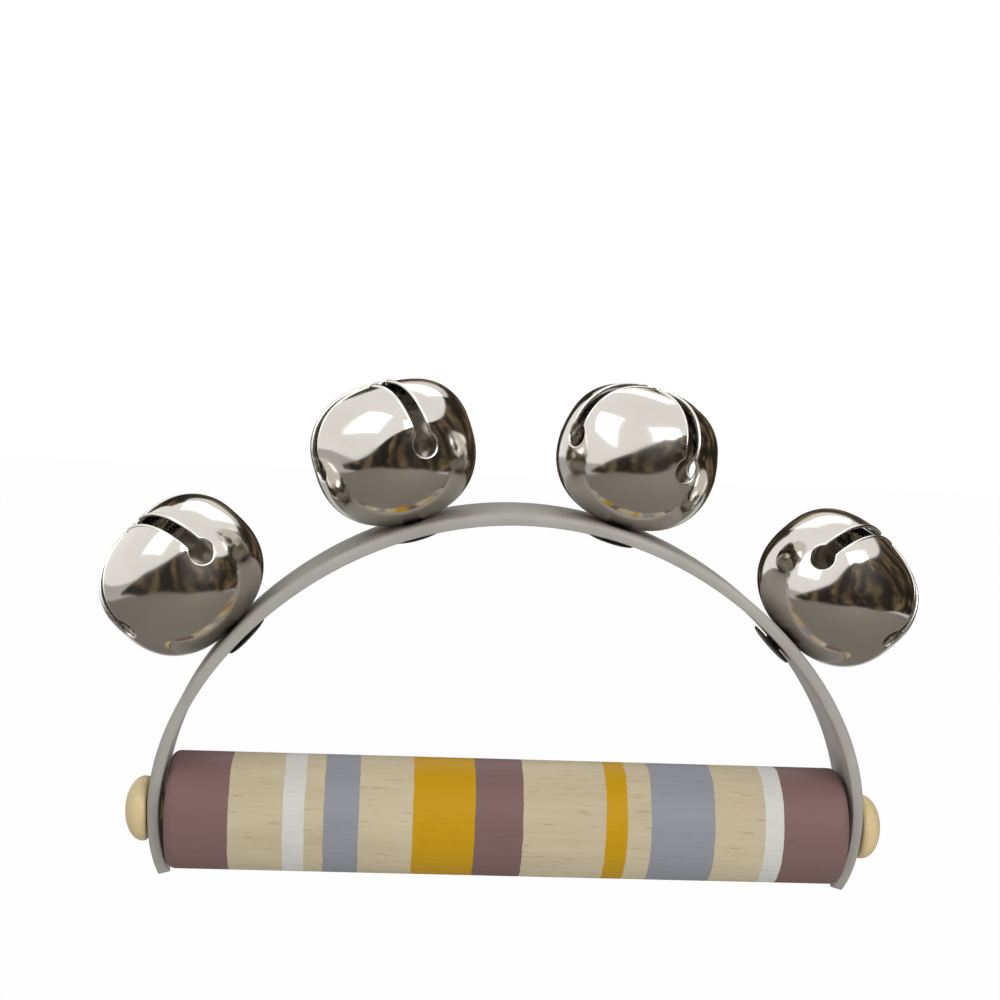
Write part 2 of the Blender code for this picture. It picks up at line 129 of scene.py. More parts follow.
def cutFrom(target, cutters, solver):
    for cutter in cutters:
        modifier = target.modifiers.new("cut", "BOOLEAN")
        modifier.operation = "DIFFERENCE"
        modifier.object = cutter
        modifier.solver = solver
    cut = meshOf(target)
    for spent in [target] + cutters:
        bpy.data.objects.remove(spent, do_unlink=True)
    return cut


# nodes of a material or a group


def newMaterial(name):
    material = bpy.data.materials.new(name)
    material.use_nodes = True
    tree = material.node_tree
    return material, tree, tree.nodes["Principled BSDF"]


def newGroup(name, inputs, outputs):
    group = bpy.data.node_groups.new(name, "ShaderNodeTree")
    for label, kind, value in inputs:
        socket = group.interface.new_socket(name=label, in_out="INPUT", socket_type=kind)
        socket.default_value = value
    for label, kind in outputs:
        group.interface.new_socket(name=label, in_out="OUTPUT", socket_type=kind)
    return group, group.nodes.new("NodeGroupInput"), group.nodes.new("NodeGroupOutput")


def feed(tree, socket, value):
    # a socket is linked, and anything else is the value itself
    if isinstance(value, bpy.types.NodeSocket):
        tree.links.new(value, socket)
    else:
        socket.default_value = value


def objectPlace(tree):
    return tree.nodes.new("ShaderNodeTexCoord").outputs["Object"]


def noise(tree, vector, scale, detail):
    node = tree.nodes.new("ShaderNodeTexNoise")
    for label, value in (("Vector", vector), ("Scale", scale), ("Detail", detail)):
        feed(tree, node.inputs[label], value)
    return node.outputs["Fac"]


def mathNode(tree, operation, *values):
    node = tree.nodes.new("ShaderNodeMath")
    node.operation = operation
    for socket, value in zip(node.inputs, values):
        feed(tree, socket, value)
    return node


def mapRange(tree, value, source, target):
    node = tree.nodes.new("ShaderNodeMapRange")
    labels = ("Value", "From Min", "From Max", "To Min", "To Max")
    for label, setting in zip(labels, (value, *source, *target)):
        feed(tree, node.inputs[label], setting)
    return node.outputs[0]


def mixColor(tree, factor, first, second, blend="MIX"):
    node = tree.nodes.new("ShaderNodeMix")
    node.data_type = "RGBA"
    node.blend_type = blend
    for label, value in (("Factor", factor), ("A", first), ("B", second)):
        feed(tree, node.inputs[label], value)
    return node.outputs["Result"]


def placeGroup(tree, group, **values):
    node = tree.nodes.new("ShaderNodeGroup")
    node.node_tree = group
    for label, value in values.items():
        node.inputs[label].default_value = value
    return node.outputs


def addBump(tree, shader, height, strength):
    bump = tree.nodes.new("ShaderNodeBump")
    bump.inputs["Strength"].default_value = strength
    bump.inputs["Distance"].default_value = 0.0001
    tree.links.new(height, bump.inputs["Height"])
    tree.links.new(bump.outputs[0], shader.inputs["Normal"])


# shader groups: beech grain, and marks of handling

wood = {
    "fibres": (40, 1300, 1300), "flecks": (230, 1900, 1900), "tone": (14, 90, 90), "fleckFrom": (0.64, 0.74),
    "fibreShare": 0.45, "spreadFrom": (0.5, 1.0), "spreadTo": (0.0, 0.55), "roughness": (0.42, 0.62),
}
marks = {"detail": 5, "gritScale": 2600, "gritDetail": 2, "glossFrom": (0.35, 0.7), "tintFrom": (0.4, 0.75)}


def makeWoodGrain():
    # fine fibres along X, short darker flecks, slow change of tone
    group, start, end = newGroup(
        "woodGrain",
        [("Pale", "NodeSocketColor", (0.6, 0.5, 0.34, 1)), ("Dark", "NodeSocketColor", (0.4, 0.3, 0.18, 1)),
         ("Fleck", "NodeSocketFloat", 0.5), ("Size", "NodeSocketFloat", 1.0)],
        [("Color", "NodeSocketColor"), ("Height", "NodeSocketFloat"), ("Roughness", "NodeSocketFloat")])
    sized = group.nodes.new("ShaderNodeVectorMath")
    sized.operation = "SCALE"
    group.links.new(objectPlace(group), sized.inputs[0])
    group.links.new(start.outputs["Size"], sized.inputs["Scale"])

    def stretched(scale, detail):
        mapping = group.nodes.new("ShaderNodeMapping")
        mapping.inputs["Scale"].default_value = scale
        group.links.new(sized.outputs[0], mapping.inputs["Vector"])
        return noise(group, mapping.outputs[0], 1.0, detail)

    fibres = stretched(wood["fibres"], 4)
    flecks = mapRange(group, stretched(wood["flecks"], 1), wood["fleckFrom"], (0.0, 1.0))
    flecks = mathNode(group, "MULTIPLY", flecks, start.outputs["Fleck"]).outputs[0]
    tone = mathNode(group, "MULTIPLY_ADD", fibres, wood["fibreShare"], stretched(wood["tone"], 2)).outputs[0]
    spread = mapRange(group, tone, wood["spreadFrom"], wood["spreadTo"])
    darkness = mathNode(group, "ADD", spread, flecks)
    darkness.use_clamp = True
    color = mixColor(group, darkness.outputs[0], start.outputs["Pale"], start.outputs["Dark"])
    group.links.new(color, end.inputs["Color"])
    group.links.new(mathNode(group, "SUBTRACT", fibres, flecks).outputs[0], end.inputs["Height"])
    group.links.new(mapRange(group, fibres, (0.0, 1.0), wood["roughness"]), end.inputs["Roughness"])
    return group


def makeHandlingMarks():
    # smudges and fine scratches that change the gloss and the colour a little
    group, start, end = newGroup(
        "handlingMarks",
        [("Color", "NodeSocketColor", (0.5, 0.5, 0.5, 1)), ("Smudge", "NodeSocketColor", (0.4, 0.4, 0.4, 1)),
         ("Low", "NodeSocketFloat", 0.1), ("High", "NodeSocketFloat", 0.3),
         ("Size", "NodeSocketFloat", 120.0)],
        [("Color", "NodeSocketColor"), ("Roughness", "NodeSocketFloat"), ("Height", "NodeSocketFloat")])
    place = objectPlace(group)
    smudge = noise(group, place, start.outputs["Size"], marks["detail"])
    gloss = mapRange(group, smudge, marks["glossFrom"], (start.outputs["Low"], start.outputs["High"]))
    tint = mapRange(group, smudge, marks["tintFrom"], (0.0, 1.0))
    color = mixColor(group, tint, start.outputs["Color"], start.outputs["Smudge"])
    group.links.new(color, end.inputs["Color"])
    group.links.new(gloss, end.inputs["Roughness"])
    group.links.new(noise(group, place, marks["gritScale"], marks["gritDetail"]), end.inputs["Height"])
    return group


woodGrain = makeWoodGrain()
handlingMarks = makeHandlingMarks()


def markedMaterial(name, look):
    material, tree, shader = newMaterial(name)
    low, high = look["roughness"]
    found = placeGroup(tree, handlingMarks, Color=(*look["color"], 1), Smudge=(*look["smudge"], 1),
                       Low=low, High=high, Size=look["size"])
    tree.links.new(found["Color"], shader.inputs["Base Color"])
    tree.links.new(found["Roughness"], shader.inputs["Roughness"])
    shader.inputs["Metallic"].default_value = look["metallic"]
    shader.inputs["Specular IOR Level"].default_value = look.get("specular", 0.5)
    addBump(tree, shader, found["Height"], look["bump"])
    return material


# handle

handle = {
    "length": 0.145, "radius": 0.0125, "rim": 0.002, "sides": 128, "holeRadius": 0.0033, "holeDepth": 0.0183,
    # right-hand end of each band in mm along X, and its paint
    "bands": [(-59.1, "plum"), (-47.7, None), (-43.4, "white"), (-39.3, None), (-31.8, "blue"), (-20.8, None),
              (-7.8, "mustard"), (2.6, "plum"), (19.9, None), (24.4, "mustard"), (29.7, None), (43.4, "blue"),
              (54.0, None), (58.0, "white"), (72.6, "plum")],
    "paints": {"plum": (0.215, 0.128, 0.120), "white": (0.66, 0.65, 0.62), "blue": (0.29, 0.30, 0.335),
               "mustard": (0.57, 0.31, 0.0)},
    "bare": (0.5, 0.4, 0.3, 0.0), "pale": (0.61, 0.525, 0.36, 1), "dark": (0.42, 0.325, 0.19, 1),
    "fleck": 0.55,
    # uneven edges of the paint, and the grain that shows through it
    "wobble": 0.0005, "wobbleScale": 260, "grainInPaint": 0.22, "grainShade": (0.55, 1.25),
    "specular": 0.22, "bump": 0.25,
}


def makeHandleMaterial():
    material, tree, shader = newMaterial("paintedBeech")
    grain = placeGroup(tree, woodGrain, Pale=handle["pale"], Dark=handle["dark"], Fleck=handle["fleck"])
    place = objectPlace(tree)
    split = tree.nodes.new("ShaderNodeSeparateXYZ")
    tree.links.new(place, split.inputs[0])
    wobble = noise(tree, place, handle["wobbleScale"], 2)
    along = mathNode(tree, "MULTIPLY_ADD", wobble, handle["wobble"], split.outputs["X"]).outputs[0]
    half = handle["length"] / 2
    # colour of the paint, with alpha 0 where the wood is bare
    ramp = tree.nodes.new("ShaderNodeValToRGB")
    ramp.color_ramp.interpolation = "CONSTANT"
    stops = ramp.color_ramp.elements
    stops.remove(stops[-1])
    begin = 0.0
    for number, (edge, paint) in enumerate(handle["bands"]):
        stop = stops.new(begin) if number else stops[0]
        stop.position = begin
        stop.color = (*handle["paints"][paint], 1.0) if paint else handle["bare"]
        begin = (edge / 1000 + half) / handle["length"]
    tree.links.new(mapRange(tree, along, (-half, half), (0.0, 1.0)), ramp.inputs[0])
    shade = mapRange(tree, grain["Height"], (0.0, 1.0), handle["grainShade"])
    paint = mixColor(tree, handle["grainInPaint"], ramp.outputs["Color"], shade, "MULTIPLY")
    color = mixColor(tree, ramp.outputs["Alpha"], grain["Color"], paint)
    tree.links.new(color, shader.inputs["Base Color"])
    tree.links.new(grain["Roughness"], shader.inputs["Roughness"])
    shader.inputs["Specular IOR Level"].default_value = handle["specular"]
    addBump(tree, shader, grain["Height"], handle["bump"])
    return material


def makeHandle():
    half, radius, rim = handle["length"] / 2, handle["radius"], handle["rim"]
    bottom = handle["holeDepth"] - half
    left = [(0, bottom), (handle["holeRadius"], bottom), (handle["holeRadius"], -half)]
    left += arcPoints((radius - rim, rim - half), rim, -90, 0, 10)
    profile = left + [(radius, half * i / 6) for i in range(-5, 6)] + [(r, -z) for r, z in reversed(left)]
    mesh = lathe("handleTurned", profile, handle["sides"])
    mesh.transform(Matrix.Rotation(math.radians(90), 4, "Y"))
    addPiece("handleTurned", mesh, makeHandleMaterial(), "handle", ["handle"])


makeHandle()
print("handle made")

# strap

strap = {
    "rise": 0.0652, "thickness": 0.0025, "halfWidth": 0.011, "leastHalfWidth": 0.0006, "shoulder": 0.019,
    "tipDrop": 0.0137, "taper": 0.06, "corner": 0.0012, "innerCorner": 0.00025, "rimGap": 0.00045,
    # steps along the strap, closer near the tips, and steps for measuring it
    "steps": 200, "crowding": 0.995, "measureSteps": 2000,
    "pinHole": 0.0033, "rivetHole": 0.0023, "cutBelow": 0.006, "cutAbove": 0.004, "holeSides": 48,
    # where the bells stand, along the inner face from the crown
    "bellPlaces": (-0.0654, -0.0225, 0.0198, 0.0630),
    "look": {"color": (0.42, 0.40, 0.365), "smudge": (0.35, 0.33, 0.295), "roughness": (0.38, 0.55),
             "size": 90, "metallic": 0.0, "bump": 0.12, "specular": 0.45},
}


def archPoint(turn, halfSpan, height):
    drawnIn = 1 - strap["shoulder"] * math.sin(2 * turn) ** 2
    return halfSpan * math.cos(turn) * drawnIn, height * math.sin(turn) * drawnIn


def turnAtHeight(z):
    low, high = -math.pi / 4, math.pi / 2
    for _ in range(60):
        middle = (low + high) / 2
        if archPoint(middle, 1.0, strap["rise"])[1] < z:
            low = middle
        else:
            high = middle
    return low


# the arch just clears the rounded rims of the handle
strap["halfSpan"] = (handle["length"] / 2 + strap["rimGap"]) / archPoint(
    turnAtHeight(handle["radius"] - handle["rim"]), 1.0, strap["rise"])[0]


def archFrame(turn):
    before = Vector(archPoint(turn + 1e-5, strap["halfSpan"], strap["rise"]))
    after = Vector(archPoint(turn - 1e-5, strap["halfSpan"], strap["rise"]))
    tangent = (after - before).normalized()
    return Vector(archPoint(turn, strap["halfSpan"], strap["rise"])), Vector((-tangent.y, tangent.x))


def measureArch():
    # distances along the inner face from the crown, with their turns
    tip, steps = turnAtHeight(-strap["tipDrop"]), strap["measureSteps"]
    turns = [math.pi / 2 + (tip - math.pi / 2) * i / steps for i in range(steps + 1)]
    points = [Vector(archPoint(t, strap["halfSpan"], strap["rise"])) for t in turns]
    lengths = [0.0]
    for a, b in zip(points, points[1:]):
        lengths.append(lengths[-1] + (b - a).length)
    return turns, lengths


archTurns, archLengths = measureArch()


def turnAt(distance):
    target = min(abs(distance), archLengths[-1])
    place = max(next(i for i, length in enumerate(archLengths) if length >= target - 1e-12), 1)
    part = (target - archLengths[place - 1]) / (archLengths[place] - archLengths[place - 1])
    turn = archTurns[place - 1] + part * (archTurns[place] - archTurns[place - 1])
    return turn if distance >= 0 else math.pi - turn


def standMatrix(distance):
    # on the outer face of the strap, +Z away from it
    point, normal = archFrame(turnAt(distance))
    foot = point + normal * strap["thickness"]
    return Matrix.Translation((foot.x, 0, foot.y)) @ Matrix.Rotation(math.atan2(normal.x, normal.y), 4, "Y")


def strapSection(halfWidth):
    thick = strap["thickness"]
    outer = min(strap["corner"], 0.5 * halfWidth, 0.6 * thick)
    inner = min(strap["innerCorner"], 0.2 * halfWidth)
    right = arcPoints((halfWidth - inner, inner), inner, -90, 0, 2)
    right += arcPoints((halfWidth - outer, thick - outer), outer, 0, 90, 6)
    return right + [(-across, up) for across, up in reversed(right)]


def makeStrapBlank():
    shape = bmesh.new()
    rings = []
    length = archLengths[-1]
    quarter = math.pi / 2 * strap["crowding"]
    for i in range(strap["steps"] + 1):
        share = i / strap["steps"] * 2 - 1
        distance = length * math.sin(share * quarter) / math.sin(quarter)
        fromTip = min((length - abs(distance)) / strap["taper"], 1.0)
        halfWidth = max(strap["halfWidth"] * math.sqrt(1 - (1 - fromTip) ** 2), strap["leastHalfWidth"])
        point, normal = archFrame(turnAt(distance))
        rings.append([shape.verts.new((point.x + normal.x * up, across, point.y + normal.y * up))
                      for across, up in strapSection(halfWidth)])
    for before, after in zip(rings, rings[1:]):
        for i in range(len(before)):
            j = (i + 1) % len(before)
            shape.faces.new((before[i], before[j], after[j], after[i]))
    shape.faces.new(rings[0])
    shape.faces.new(rings[-1])
    return looseObject("strapBlank", finishMesh(shape, "strapBlank", 60))


def makeStrap():
    below, above, sides = strap["cutBelow"], strap["cutAbove"], strap["holeSides"]
    onItsSide = Matrix.Rotation(math.radians(90), 4, "Y")
    middle = strap["halfSpan"] + strap["thickness"] / 2
    holes = []
    for side in (-1, 1):
        rod = rodMesh(strap["pinHole"], -below, below, sides)
        holes.append(looseObject("pinHole", rod, Matrix.Translation((side * middle, 0, 0)) @ onItsSide))
    for distance in strap["bellPlaces"]:
        rod = rodMesh(strap["rivetHole"], -below, above, sides)
        holes.append(looseObject("rivetHole", rod, standMatrix(distance)))
    mesh = cutFrom(makeStrapBlank(), holes, "EXACT")
    mesh.name = "strapMoulded"
    material = markedMaterial("strapPlastic", strap["look"])
    addPiece("strapMoulded", mesh, material, "strap", ["strap"])


makeStrap()
print("strap made")

# wooden pins

pin = {
    "headRadius": 0.0069, "height": 0.005, "skirt": 0.001, "shank": 0.003, "depth": 0.018, "gap": 0.0003,
    "sides": 64, "domeSteps": 16, "pale": (0.76, 0.62, 0.33, 1), "dark": (0.58, 0.43, 0.19, 1), "fleck": 0.3,
    "grainSize": 0.8, "coat": 0.15, "bump": 0.2,
}


def makePinMaterial():
    material, tree, shader = newMaterial("pinBeech")
    grain = placeGroup(tree, woodGrain, Pale=pin["pale"], Dark=pin["dark"], Fleck=pin["fleck"],
                       Size=pin["grainSize"])
    tree.links.new(grain["Color"], shader.inputs["Base Color"])
    tree.links.new(grain["Roughness"], shader.inputs["Roughness"])
    shader.inputs["Coat Weight"].default_value = pin["coat"]
    addBump(tree, shader, grain["Height"], pin["bump"])
    return material


def makePins():
    material = makePinMaterial()
    reach = strap["halfSpan"] + strap["thickness"] + pin["gap"]
    tip = handle["length"] / 2 - pin["depth"] - reach
    head, shank = pin["headRadius"], pin["shank"]
    profile = [(0, tip), (shank * 0.8, tip), (shank, tip + shank * 0.2), (shank, 0),
               (head - 0.0005, 0), (head - 0.0001, 0.0003)]
    for i in range(pin["domeSteps"]):
        angle = math.pi / 2 * i / pin["domeSteps"]
        height = pin["skirt"] + (pin["height"] - pin["skirt"]) * math.sin(angle)
        profile.append((head * math.cos(angle), height))
    profile.append((0, pin["height"]))
    for name, node, side in (("pinLeft", "handle_pin_left", -1), ("pinRight", "handle_pin_right", 1)):
        mesh = lathe(name, profile, pin["sides"], sharp=50)
        outward = Matrix.Rotation(side * math.radians(90), 4, "Y")
        mesh.transform(Matrix.Translation((side * reach, 0, 0)) @ outward)
        addPiece(name, mesh, material, "handle", [node])


makePins()
print("pins made")

# bells

bells = {
    "turns": (32.0, 24.0, 29.0, 51.0), "gap": 0.0003, "sides": 96, "cupSteps": 16, "petalSteps": 24,
    "diameter": 0.0343, "cupDepth": 0.0149, "petalHeight": 0.0147, "sheet": 0.0006,
    "seat": 0.010, "hole": 0.0023, "cupFullness": 2.3, "petalFullness": 2.5, "flattening": 0.032,
    "slot": 0.0035, "slotFoot": 0.0005, "slotHeight": 0.016, "cutLength": 0.045,
    "keyhole": 0.0058, "keyholeHeight": 0.0009, "keyholeSides": 40,
    # rolled edge of the slots: half its thickness, how deep it lies, and where its arms end
    "lip": 0.00038, "lipDepth": 0.0004, "lipTop": 0.0002, "armStart": 1.2, "armEnd": 0.9, "keyholeSteps": 24,
    "look": {"color": (0.72, 0.69, 0.64), "smudge": (0.66, 0.62, 0.56), "roughness": (0.07, 0.17), "size": 75,
             "metallic": 1.0, "bump": 0.012},
    # a lighter copy of the nickel on the slot edges: the lighter colour is painted highlight
    "lipHighlightLook": {"color": (0.86, 0.84, 0.79), "smudge": (0.76, 0.73, 0.68), "roughness": (0.16, 0.26),
                "size": 160, "metallic": 1.0, "bump": 0.02},
}


def bellProfile():
    radius, seat = bells["diameter"] / 2, bells["seat"] / 2
    power = 2 / bells["cupFullness"]
    start = math.acos((seat / radius) ** (1 / power))
    depth = bells["cupDepth"] / math.sin(start) ** power
    profile = [(bells["hole"], 0.0), (seat - 0.001, 0.0), (seat, 0.00002)]
    for i in range(1, bells["cupSteps"] + 1):
        angle = start * (1 - i / bells["cupSteps"])
        height = bells["cupDepth"] - depth * math.sin(angle) ** power
        profile.append((radius * math.cos(angle) ** power, height))
    power = 2 / bells["petalFullness"]
    for i in range(1, bells["petalSteps"]):
        angle = math.pi / 2 * i / bells["petalSteps"]
        height = bells["cupDepth"] + bells["petalHeight"] * math.sin(angle) ** power
        profile.append((radius * math.cos(angle) ** power, height))
    profile.append((0.0, bells["cupDepth"] + bells["petalHeight"]))
    return profile


def swell(height, azimuth):
    # the four petals are flatter than a turned form
    above = (height - bells["cupDepth"]) / bells["petalHeight"]
    return 1 + min(max(3 * above, 0.0), 1.0) * bells["flattening"] * math.cos(4 * azimuth)


def insetProfile(profile, distance):
    moved = []
    last = len(profile) - 1
    for i, (radius, height) in enumerate(profile):
        before, after = profile[max(i - 1, 0)], profile[min(i + 1, last)]
        along = Vector((after[0] - before[0], after[1] - before[1])).normalized()
        moved.append((radius - along.y * distance, height + along.x * distance))
    moved[0] = (profile[0][0], profile[0][1] + distance)
    moved[-1] = (0.0, profile[-1][1] - distance)
    return moved


def makeShellMesh():
    shape = bmesh.new()
    profile = bellProfile()
    skins = []
    for skin in (profile, insetProfile(profile, bells["sheet"])):
        rings = [ring(shape, radius, height, bells["sides"], swell) for radius, height in skin]
        joinRings(shape, zip(rings, rings[1:]), bells["sides"])
        skins.append(rings[0])
    joinRings(shape, [skins], bells["sides"])
    blank = looseObject("bellBlank", finishMesh(shape, "bellBlank"))
    middle = bells["cupDepth"] + bells["keyholeHeight"]
    lift = Matrix.Translation((0, 0, bells["slotFoot"] + bells["slotHeight"] / 2))
    reach = bells["cutLength"] / 2
    cutters = []
    for turn in (0, 90):
        spin = Matrix.Translation((0, 0, middle)) @ Matrix.Rotation(math.radians(turn), 4, "Z")
        slab = bmesh.new()
        bmesh.ops.create_cube(slab, size=1.0)
        bmesh.ops.scale(slab, vec=(bells["cutLength"], bells["slot"], bells["slotHeight"]), verts=slab.verts)
        cutters.append(looseObject("slot", finishMesh(slab, "slot"), spin @ lift))
        rod = rodMesh(bells["keyhole"] / 2, -reach, reach, bells["keyholeSides"])
        cutters.append(looseObject("keyholes", rod, spin @ Matrix.Rotation(math.radians(90), 4, "Y")))
    mesh = cutFrom(blank, cutters, "MANIFOLD")
    mesh.shade_smooth()
    mesh.set_sharp_from_angle(angle=math.radians(32))
    return mesh


def radiusAt(height):
    profile = bellProfile()
    for (r1, z1), (r2, z2) in zip(profile[3:], profile[4:]):
        if z1 <= height <= z2:
            return r1 + (r2 - r1) * (height - z1) / (z2 - z1)
    return profile[-2][0]


def openingOutline():
    # a quarter of the edge of the crossed slots: down one side of a slot, round its keyhole and back
    side, hole, inside = bells["slot"] / 2, bells["keyhole"] / 2, bells["lipDepth"]
    middle = bells["cupDepth"] + bells["keyholeHeight"]

    def onSkin(across, radius, height):
        reach = math.sqrt(max((radius * swell(height, 0) - inside) ** 2 - across ** 2, 0))
        return Vector((reach, across, height))

    down = [Vector((side, side, bells["cupDepth"] + bells["petalHeight"] - inside - bells["lipTop"]))]
    for radius, height in reversed(bellProfile()[3 + bells["cupSteps"]:-1]):
        point = onSkin(side, radius, height)
        if point.x > side * bells["armStart"] and height > middle + hole * bells["armEnd"]:
            down.append(point)
    bend = []
    first = math.asin(side / hole)
    for i in range(bells["keyholeSteps"] + 1):
        angle = first + (2 * math.pi - 2 * first) * i / bells["keyholeSteps"]
        height = middle + hole * math.cos(angle)
        bend.append(onSkin(hole * math.sin(angle), radiusAt(height), height))
    # the next arm starts at the last corner, so it isn't repeated
    back = [Vector((p.x, -p.y, p.z)) for p in reversed(down[1:])]
    return down + bend + back


def makeLipMesh():
    points = []
    for quarter in range(4):
        turn = Matrix.Rotation(-math.radians(90 * quarter), 4, "Z")
        points += [turn @ p for p in openingOutline()]
    curve = bpy.data.curves.new("lip", "CURVE")
    curve.dimensions = "3D"
    curve.bevel_depth = bells["lip"]
    curve.bevel_resolution = 3
    spline = curve.splines.new("POLY")
    spline.points.add(len(points) - 1)
    for target, point in zip(spline.points, points):
        target.co = (*point, 1)
    spline.use_cyclic_u = True
    obj = looseObject("lip", curve)
    mesh = meshOf(obj)
    bpy.data.objects.remove(obj, do_unlink=True)
    mesh.shade_smooth()
    return mesh


# rivets

rivet = {
    "sides": 48, "tube": 0.002, "seat": -0.00317, "bore": 0.0013,
    # flange under the strap, its dished face as (radius, share of the thickness)
    "flange": 0.0052, "flangeThick": 0.001, "dish": ((0.0024, 0.98), (0.0036, 0.88), (0.0048, 0.62)),
    "flangeRound": 0.00026, "flangeInset": 0.0004,
    # tail in the bell, with the pocket where the mandrel's head sits
    "tail": 0.0033, "tailBase": 0.0012, "tailHeight": 0.003, "tailInset": 0.0002, "rounding": 0.0008,
    "pocket": 0.0018, "pocketDepth": 0.0015,
    "look": {"color": (0.035, 0.03, 0.026), "smudge": (0.07, 0.062, 0.052), "roughness": (0.28, 0.5),
             "size": 420, "metallic": 0.9, "bump": 0.08},
}


def rivetProfile():
    seat, base, bore = rivet["seat"], rivet["tailBase"], rivet["bore"]
    top = base + rivet["tailHeight"]
    edge, bend = rivet["flange"], rivet["flangeRound"]
    profile = [(bore, seat - rivet["flangeThick"])]
    profile += [(radius, seat - share * rivet["flangeThick"]) for radius, share in rivet["dish"]]
    profile += arcPoints((edge - bend, seat - bend), bend, -60, 60, 4)
    profile += [(edge - rivet["flangeInset"], seat), (rivet["tube"], seat), (rivet["tube"], base),
                (rivet["tail"] - rivet["tailInset"], base)]
    bend = rivet["rounding"]
    profile += arcPoints((rivet["tail"] - bend, top - bend), bend, -20, 90, 7)
    floor = top - rivet["pocketDepth"]
    return profile + [(rivet["pocket"], top), (rivet["pocket"], floor), (bore, floor)]


# pellets

pellet = {
    "radius": 0.004, "subdivisions": 4,
    "look": {"color": (0.38, 0.36, 0.33), "smudge": (0.26, 0.24, 0.21), "roughness": (0.2, 0.4), "size": 300,
             "metallic": 1.0, "bump": 0.05},
}


def pelletMesh(number):
    ball = bmesh.new()
    bmesh.ops.create_icosphere(ball, subdivisions=pellet["subdivisions"], radius=pellet["radius"])
    mesh = finishMesh(ball, f"pelletBall{number}", 80)
    low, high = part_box(f"pellet_{number}")
    mesh.transform(Matrix.Translation((low + high) / 2))
    return mesh


def makeBells():
    nickel = markedMaterial("polishedNickel", bells["look"])
    # the slot lips get a lighter nickel: painted highlight along the slot edges
    lipNickelPaintedHighlight = markedMaterial("lipNickelPaintedHighlight", bells["lipHighlightLook"])
    blackSteel = markedMaterial("blackSteel", rivet["look"])
    ballSteel = markedMaterial("ballSteel", pellet["look"])
    shell, lip = makeShellMesh(), makeLipMesh()
    for number, (distance, turn) in enumerate(zip(strap["bellPlaces"], bells["turns"]), start=1):
        stand = standMatrix(distance)
        place = stand @ Matrix.Translation((0, 0, bells["gap"])) @ Matrix.Rotation(math.radians(turn), 4, "Z")
        mesh = shell.copy()
        mesh.transform(place)
        addPiece(f"bellShell{number}", mesh, nickel, f"bell_{number}", [f"bell_{number}"])
        mesh = lip.copy()
        mesh.transform(place)
        addPiece(f"bellLip{number}", mesh, lipNickelPaintedHighlight, f"bell_{number}", [])
        mesh = lathe(f"rivetFlanged{number}", rivetProfile(), rivet["sides"], closed=True)
        mesh.transform(stand)
        addPiece(f"rivetFlanged{number}", mesh, blackSteel, "strap", [f"rivet_{number}"])
        addPiece(f"pelletBall{number}", pelletMesh(number), ballSteel, f"pellet_{number}",
                 [f"pellet_{number}"])
        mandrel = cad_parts[f"rivet_mandrel_{number}"]
        mandrel.data.materials.clear()
        mandrel.data.materials.append(ballSteel)


makeBells()
print("bells made")

# stage

stage = {
    "world": 0.5, "floorHeight": -0.32, "floorSize": 8.0, "floorColor": (0.9, 0.9, 0.89, 1),
    "floorGlow": 0.98,
    # grey sheet under the object, seen only in the metal: painted grey-beige reflection in the lower cups of
    # the bells
    "cardSize": 1.1, "cardPlace": (0, -0.25, -0.14), "cardReflectionColor": (0.27, 0.25, 0.22, 1),
    # name, place, size and power
    "lights": (("key", (0.42, -0.75, 0.5), 0.7, 4.4), ("fill", (-0.6, -0.45, 0.65), 0.6, 1.3),
               ("back", (0.1, 0.7, 0.6), 0.6, 0.8)),
    "aim": (0, 0, 0.03),
}
flag = {
    # round the front and the right, its top edge rising at a slant from the left
    "radius": 0.85, "low": -0.2, "high": 0.6, "start": -75, "end": 205, "slant": 2.6, "steps": 40,
    # dark sheet with warm patches, as (place in the noise, colour): seen only in the bells as a painted dark
    # reflection with warm glints
    "warmPatchScale": 5.0, "warmPatchDetail": 3,
    "dark": (0.48, (0.018, 0.013, 0.008, 1)), "warmGlint": (0.72, (0.34, 0.24, 0.12, 1)),
}


def makeWorld():
    world = bpy.data.worlds.new("studio")
    bpy.context.scene.world = world
    world.use_nodes = True
    tree = world.node_tree
    background = tree.nodes["Background"]
    background.inputs["Color"].default_value = (1.0, 1.0, 1.0, 1)
    path = tree.nodes.new("ShaderNodeLightPath")
    seen = mathNode(tree, "MAXIMUM", path.outputs["Is Camera Ray"], path.outputs["Is Glossy Ray"]).outputs[0]
    tree.links.new(mapRange(tree, seen, (0.0, 1.0), (stage["world"], 1.0)), background.inputs["Strength"])


def makeFloor():
    mesh = squareMesh("floor", stage["floorSize"])
    floor = looseObject("floor", mesh, Matrix.Translation((0, 0, stage["floorHeight"])))
    material, tree, shader = newMaterial("floorPale")
    shader.inputs["Base Color"].default_value = stage["floorColor"]
    shader.inputs["Roughness"].default_value = 0.9
    path = tree.nodes.new("ShaderNodeLightPath")
    glow = tree.nodes.new("ShaderNodeEmission")
    mix = tree.nodes.new("ShaderNodeMixShader")
    part = mathNode(tree, "MULTIPLY", path.outputs["Is Camera Ray"], stage["floorGlow"]).outputs[0]
    for socket, source in zip(mix.inputs, (part, shader.outputs[0], glow.outputs[0])):
        tree.links.new(source, socket)
    tree.links.new(mix.outputs[0], tree.nodes["Material Output"].inputs["Surface"])
    mesh.materials.append(material)


def addReflector(mesh, material, matrix=Matrix()):
    # seen only as a reflection in the metal
    mesh.materials.append(material)
    obj = looseObject(mesh.name, mesh, matrix)
    obj.visible_camera = False
    obj.visible_diffuse = False
    obj.visible_shadow = False
